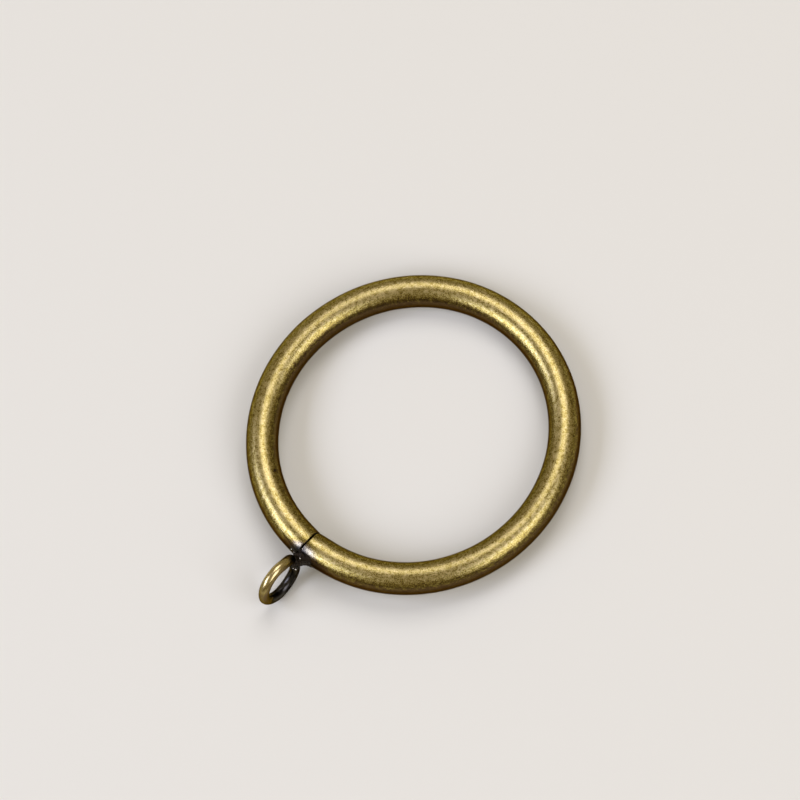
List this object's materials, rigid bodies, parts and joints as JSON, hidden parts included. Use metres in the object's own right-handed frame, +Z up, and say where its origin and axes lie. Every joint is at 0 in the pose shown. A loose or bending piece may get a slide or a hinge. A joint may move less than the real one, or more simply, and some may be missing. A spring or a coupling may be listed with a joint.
{
  "type": "eyelet curtain ring",
  "caption": "Round curtain ring bent from metal tube, with a small wire eyelet welded over its seam: it slides along a rod and carries a curtain hook.",
  "frame": {"origin": "centre of the hoop, where the curtain rod's axis passes", "axes": "+Z up as the ring lies at rest, +Y from the eyelet towards the far side of the hoop, +X along the axis of the eyelet's hole"},
  "size_m": [0.062, 0.0728, 0.0102],
  "materials": {
    "antique_brass": "antique brass plating on steel, satin, mottled with dark brown patina",
    "black_weld": "blackened weld metal, rough with glossy specks"
  },
  "bodies": {
    "root": {"hoop": "antique_brass", "wire_eyelet": "antique_brass", "weld_bead": "black_weld"}
  },
  "joints": []
}
